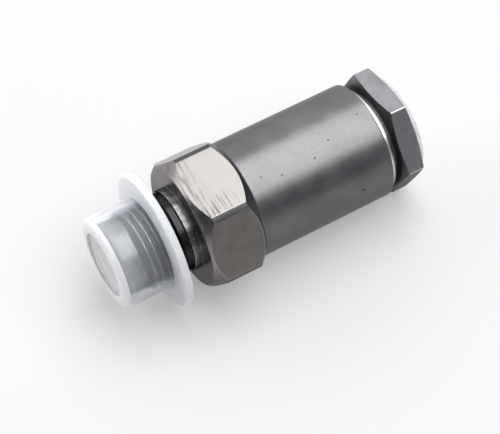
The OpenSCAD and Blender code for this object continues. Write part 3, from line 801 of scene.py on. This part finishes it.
def front_cap_profile(sizes):
    """Profile of the cap from the middle of its closed end, over the rim, the wall and the flange, back
    through the bore. Rim, root and gate mark are arcs."""
    bore, flange, recess, gate = radii(sizes, "bore", "flange", "recess", "gate")
    end, mouth, rim, root, corner = sizes.end, sizes.mouth, sizes.rim_radius, sizes.root_radius, sizes.inner_corner
    wall = bore + sizes.wall
    outside, inside = wall + sizes.draft, bore + sizes.draft
    floor = end + sizes.recess_depth
    foot = mouth - sizes.flange_thickness
    back = end + sizes.end_wall
    soft = 0.12 * MM
    ridge, ridge_side, ridge_height = recess - 1.2 * MM, 0.1 * MM, 0.05 * MM
    gate_turn = np.radians(np.linspace(10, 90, 5))
    gate_mark = np.stack([floor - sizes.gate_height * np.cos(gate_turn), gate * np.sin(gate_turn)], axis=1)
    return np.concatenate([
        gate_mark,
        [(floor, gate + soft), (floor, ridge - ridge_side), (floor - ridge_height, ridge),
         (floor, ridge + ridge_side), (floor, recess - 2 * soft), (floor, recess - soft)],
        arc((floor - soft, recess - soft), soft, 0, 90, 4),
        arc((end + soft, recess + soft), soft, 270, 180, 4),
        [(end, recess + 2 * soft), (end, wall - rim - 2 * soft)],
        arc((end + rim, wall - rim), rim, 180, 90, 9),
        [(end + rim + soft, wall + 0.01 * sizes.draft), (foot - root - soft, outside)],
        arc((foot - root, outside + root), root, 270, 360, 6),
        [(foot, outside + root + soft), (foot, flange - 3 * soft)],
        arc((foot + soft, flange - soft), soft, 180, 90, 4),
        [(foot + 2.5 * soft, flange), ((foot + mouth) / 2, flange), (mouth - 2.5 * soft, flange)],
        arc((mouth - soft, flange - soft), soft, 90, 0, 4),
        [(mouth, flange - 3 * soft), (mouth, inside + 3 * soft)],
        arc((mouth - soft, inside + soft), soft, 0, -90, 4),
        [(mouth - 3 * soft, inside), (back + corner + soft, bore)],
        arc((back + corner, bore - corner), corner, 90, 180, 5),
        [(back, bore - corner - soft), (back, 0.4 * bore), (back, 0.05 * bore)],
    ])


def serrate(rows, turn, sizes):
    """Lowers the rim of the flange between its teeth: by depth (1 - cos(n a)) / 2 at angle a, faded in
    over the outer part of the radius."""
    reach = 0.4 * MM
    fade = np.clip((rows[..., 1] - sizes.flange_diameter / 2 + reach) / reach, 0, 1)
    wave = (1 - np.cos(sizes.teeth * turn))[:, None] / 2
    rows[..., 1] -= sizes.tooth_depth * wave * fade
    return rows


def cup_piece(name, rows, turn):
    """Closed mesh of a cup whose profile begins and ends near the axis."""
    return surface_piece(name, turned_grid(rows, turn), [(rows[0, 0, 0], 0, 0), (rows[0, -1, 0], 0, 0)])


class VALVE_OT_front_cap(bpy.types.Operator):
    """Build the translucent cap over the inlet thread, with its finely serrated flange"""

    bl_idname = "valve.front_cap"
    bl_label = "Front cap"

    def execute(self, context):
        sizes = context.scene.valve_front_cap
        finish = context.scene.valve_finish
        turn = np.linspace(0, math.tau, 4 * sizes.teeth, endpoint=False)
        profile = front_cap_profile(sizes)
        rows = serrate(np.repeat(profile[None], len(turn), axis=0), turn, sizes)
        piece = cup_piece("inlet_cap", rows, turn)
        station = (rows[:, 1:, 0] + rows[:, :-1, 0]) / 2
        radius = (rows[:, 1:, 1] + rows[:, :-1, 1]) / 2
        wall = sizes.bore_diameter / 2 + sizes.wall
        on_flange, on_end = radius > wall + 0.3 * MM, station < sizes.end + sizes.end_wall - 0.2 * MM
        zone = np.concatenate([(on_flange | on_end).T.ravel(), np.ones(2 * len(turn), bool)])
        paint_zones(piece, [milky_plastic(finish.wall, "clear_wall", 0.13, 0.80),
                            milky_plastic(finish.plastic, "milky_flange", 0.80, 0.92)], zone)
        dress(piece, "inlet_cap", "front_cap")
        return {"FINISHED"}


def rear_cap_profile(sizes):
    """Profile of the outlet's cap from the middle of its closed end, along the drafted cup and the
    flange, back down the inside of the cup."""
    mouth, flange = radii(sizes, "mouth", "flange")
    end, seat, rim = sizes.end, sizes.seat, sizes.rim_radius
    end_radius = mouth - sizes.draft
    inner_mouth, inner_end = mouth - sizes.wall, end_radius - sizes.wall
    rear = seat + sizes.flange_thickness
    inside = end + sizes.wall
    soft = 0.25 * MM
    small = 0.1 * MM
    return np.concatenate([
        [(end, 0.05 * end_radius), (end, end_radius - rim - small)],
        arc((end + rim, end_radius - rim), rim, 180, 90, 6),
        [(end + rim + small, end_radius), (seat - 2 * small, mouth - 0.01 * MM)],
        arc((seat - small, mouth + small), small, 270, 360, 4),
        [(seat, mouth + 2 * small), (seat, flange - 2 * soft)],
        arc((seat + soft, flange - soft), soft, 180, 90, 5),
        [(seat + 1.5 * soft, flange), (rear - 2 * soft, flange)],
        arc((rear - soft, flange - soft), soft, 90, 0, 5),
        [(rear, flange - 2 * soft), (rear, inner_mouth + 2 * soft)],
        arc((rear - soft, inner_mouth + soft), soft, 0, -90, 5),
        [(rear - 2 * soft, inner_mouth), (inside + 2 * soft, inner_end)],
        arc((inside + soft, inner_end - soft), soft, 90, 180, 5),
        [(inside, inner_end - 2 * soft), (inside, 0.05 * end_radius)],
    ])


class VALVE_OT_rear_cap(bpy.types.Operator):
    """Build the translucent cap that stands in the outlet"""

    bl_idname = "valve.rear_cap"
    bl_label = "Rear cap"

    def execute(self, context):
        sizes = context.scene.valve_rear_cap
        turn = np.linspace(0, math.tau, 192, endpoint=False)
        rows = np.repeat(rear_cap_profile(sizes)[None], len(turn), axis=0)
        piece = cup_piece("outlet_cap_piece", rows, turn)
        plastic = context.scene.valve_finish.plastic
        paint_zones(piece, [milky_plastic(plastic, "milky_outlet_cap", 0.55, 0.90)])
        dress(piece, "outlet_cap", "rear_cap")
        return {"FINISHED"}


def spring_station(turn, turns, lead, reach):
    """Station of the wire's centre after `turn` turns: one wire a turn in the two closed end turns, and
    what is left shared evenly by the turns between."""
    open_turns = (reach - 2 * lead) / (turns - 2)
    return np.where(turn < 1, lead * turn,
                    np.where(turn > turns - 1, reach - lead * (turns - turn), lead + open_turns * (turn - 1)))


def spring_grid(sizes, rings, sides):
    """Wire swept along the coil: at n turns the centre stands at the station above and at the mean
    radius, and the wire's circle adds its cosine to the radius and its sine to the station."""
    wire = sizes.wire_diameter / 2
    mean = sizes.outside_diameter / 2 - wire
    lead = sizes.wire_diameter + 0.02 * MM
    turn = np.linspace(0, sizes.turns, rings)[:, None]
    round_wire = np.linspace(0, math.tau, sides, endpoint=False)[None]
    reach = sizes.rear - sizes.front - sizes.wire_diameter
    station = sizes.front + wire + spring_station(turn, sizes.turns, lead, reach) + wire * np.sin(round_wire)
    radius = mean + wire * np.cos(round_wire)
    around = math.tau * turn
    return np.stack([station, radius * np.cos(around), radius * np.sin(around)], axis=-1)


class VALVE_OT_spring(bpy.types.Operator):
    """Build the main spring at one length; the real spring shortens as the valve lifts"""

    bl_idname = "valve.spring"
    bl_label = "Main spring"

    def execute(self, context):
        sizes = context.scene.valve_spring
        finish = context.scene.valve_finish
        grid = spring_grid(sizes, rings=265, sides=20)
        piece = surface_piece("coil_spring", grid, [grid[0].mean(0), grid[-1].mean(0)])
        paint_zones(piece, [ground_metal("blued_wire", finish.blued, 2400, 0.30, 0.46)])
        dress(piece, "housing", "main_spring")
        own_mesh(piece)
        return {"FINISHED"}


class VALVE_OT_inner_parts(bpy.types.Operator):
    """Give the parts inside the body and the sealing ring their metals"""

    bl_idname = "valve.inner_parts"
    bl_label = "Inner parts and sealing ring"

    def execute(self, context):
        finish = context.scene.valve_finish
        hard = ground_metal("hardened_steel", finish.hard, 3000, 0.16, 0.30)
        plate = ground_metal("plate_steel", finish.plate, 2600, 0.28, 0.42)
        ball = ground_metal("ball_steel", finish.bright, 4200, 0.05, 0.12)
        shim = ground_metal("shim_steel", finish.hard, 2200, 0.22, 0.34)
        copper = ground_metal("soft_copper", finish.copper, 1800, 0.25, 0.40)
        metals = {
            "seat_washer": copper, "inlet_seat": hard, "guide_sleeve": hard, "valve_ball": ball,
            "ball_holder": hard, "valve_piston": hard, "front_spring_plate": plate,
            "rear_spring_plate": plate, "stop_pin": hard, "shim_thin": shim, "shim_middle": shim,
            "shim_thick": shim, "sealing_ring": ring_steel(finish),
        }
        for name, metal in metals.items():
            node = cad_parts[name]
            node.data.materials.clear()
            node.data.materials.append(metal)
        return {"FINISHED"}


LIGHTS = (
    ("overhead_softbox", (0.17, -0.06, 0.52), (0.015, -0.06, 0), (0.80, 0.42), 4.6),
    ("end_fill", (-0.36, 0.29, 0.24), (-0.02, 0, 0), (0.34, 0.34), 1.1),
    ("back_wall", (0.15, 0.65, 0.32), (0.15, 0, 0.10), (1.7, 0.66), 3.8),
)


def area_light(name, place, aim, size, power):
    """Rectangular lamp at a place, turned towards the point it is aimed at."""
    data = bpy.data.lights.new(name, "AREA")
    data.shape = "RECTANGLE"
    data.size, data.size_y = size
    data.energy = power
    turned = (Vector(place) - Vector(aim)).to_track_quat("Z", "Y").to_matrix().to_4x4()
    placed(name, data).matrix_world = Matrix.Translation(place) @ turned


def make_floor(stage):
    """Pale floor, dipped to the rear as the table is to the valve's axis."""
    half, side = stage.floor_size / 2, 9
    steps = np.linspace(-half, half, side)
    x, y = np.meshgrid(steps, steps, indexing="ij")
    z = stage.floor_height + np.tan(stage.floor_tilt) * (x - stage.floor_pivot)
    index = np.arange(side**2).reshape(side, side)
    faces = np.stack([index[:-1, :-1], index[1:, :-1], index[1:, 1:], index[:-1, 1:]], axis=-1).reshape(-1, 4)
    mesh = bpy.data.meshes.new("floor")
    mesh.from_pydata(np.stack([x, y, z], axis=-1).reshape(-1, 3).tolist(), [], faces.tolist())
    made = Recipe("pale_floor", stage.floor_colour)
    mesh.materials.append(made.set(
        Base_Color=made.clouded(made.noise(6), 0.99, 1.01, 0, 1),
        Roughness=0.85, Emission_Color=(1.0, 1.0, 1.0, 1.0), Emission_Strength=stage.floor_glow))
    placed("floor", mesh)


def light_room(tree, stage):
    """Even light from all round, which fades to the darker end of the room that the nose points at."""
    room = Nodes(tree)
    station = room.node("SeparateXYZ", "X", {"Vector": room.node("TexCoord", "Generated")})
    tone = room.blend(room.spread(station, -0.9, 0.3, 0, 1), (*stage.world_dark, 1), (*stage.world, 1))
    room.feed(tree.nodes["Background"].inputs["Color"], tone)


def make_camera(stage):
    """Camera on a sphere round its target: right, up and back come from azimuth and elevation."""
    a, e = stage.azimuth, stage.elevation
    back = Vector((math.sin(a) * math.cos(e), -math.cos(a) * math.cos(e), math.sin(e)))
    right = Vector((math.cos(a), math.sin(a), 0))
    up = back.cross(right)
    data = bpy.data.cameras.new("camera")
    data.lens = stage.lens
    data.sensor_width = 36
    data.clip_start = 0.01
    data.clip_end = 20
    camera = placed("camera", data)
    turned = Matrix((right, up, back)).transposed().to_4x4()
    camera.matrix_world = Matrix.Translation(Vector(stage.target) + back * stage.distance) @ turned
    bpy.context.scene.camera = camera


class VALVE_OT_stage(bpy.types.Operator):
    """Build the floor, the soft lights and the camera"""

    bl_idname = "valve.stage"
    bl_label = "Stage"

    def execute(self, context):
        stage = context.scene.valve_stage
        make_floor(stage)
        make_camera(stage)
        for light in LIGHTS:
            area_light(*light)
        world = bpy.data.worlds.new("room")
        world.use_nodes = True
        light_room(world.node_tree, stage)
        context.scene.world = world
        context.scene.view_settings.view_transform = "Standard"
        return {"FINISHED"}


class VALVE_PT_sidebar(bpy.types.Panel):
    """Sidebar panel with one button for each piece"""

    bl_idname = "VALVE_PT_sidebar"
    bl_label = "Relief valve"
    bl_space_type = "VIEW_3D"
    bl_region_type = "UI"
    bl_category = "Valve"

    def draw(self, context):
        for operator in OPERATORS:
            self.layout.operator(operator.bl_idname)


GROUPS = {
    "valve_housing": HousingSizes,
    "valve_plug": PlugSizes,
    "valve_front_cap": FrontCapSizes,
    "valve_rear_cap": RearCapSizes,
    "valve_spring": SpringSizes,
    "valve_finish": FinishSettings,
    "valve_stage": StageSettings,
}
OPERATORS = (VALVE_OT_housing, VALVE_OT_plug, VALVE_OT_front_cap, VALVE_OT_rear_cap, VALVE_OT_spring,
             VALVE_OT_inner_parts, VALVE_OT_stage)


def register():
    """Makes the sizes, the operators and the panel known."""
    for cls in (*GROUPS.values(), *OPERATORS, VALVE_PT_sidebar):
        bpy.utils.register_class(cls)
    for name, group in GROUPS.items():
        setattr(bpy.types.Scene, name, bpy.props.PointerProperty(type=group))


def unregister():
    """Takes away what register added."""
    for name in GROUPS:
        delattr(bpy.types.Scene, name)
    for cls in reversed((*GROUPS.values(), *OPERATORS, VALVE_PT_sidebar)):
        bpy.utils.unregister_class(cls)


def main():
    register()
    bpy.ops.valve.housing()
    bpy.ops.valve.plug()
    bpy.ops.valve.front_cap()
    bpy.ops.valve.rear_cap()
    bpy.ops.valve.spring()
    bpy.ops.valve.inner_parts()
    bpy.ops.valve.stage()


if __name__ == "__main__":
    main()
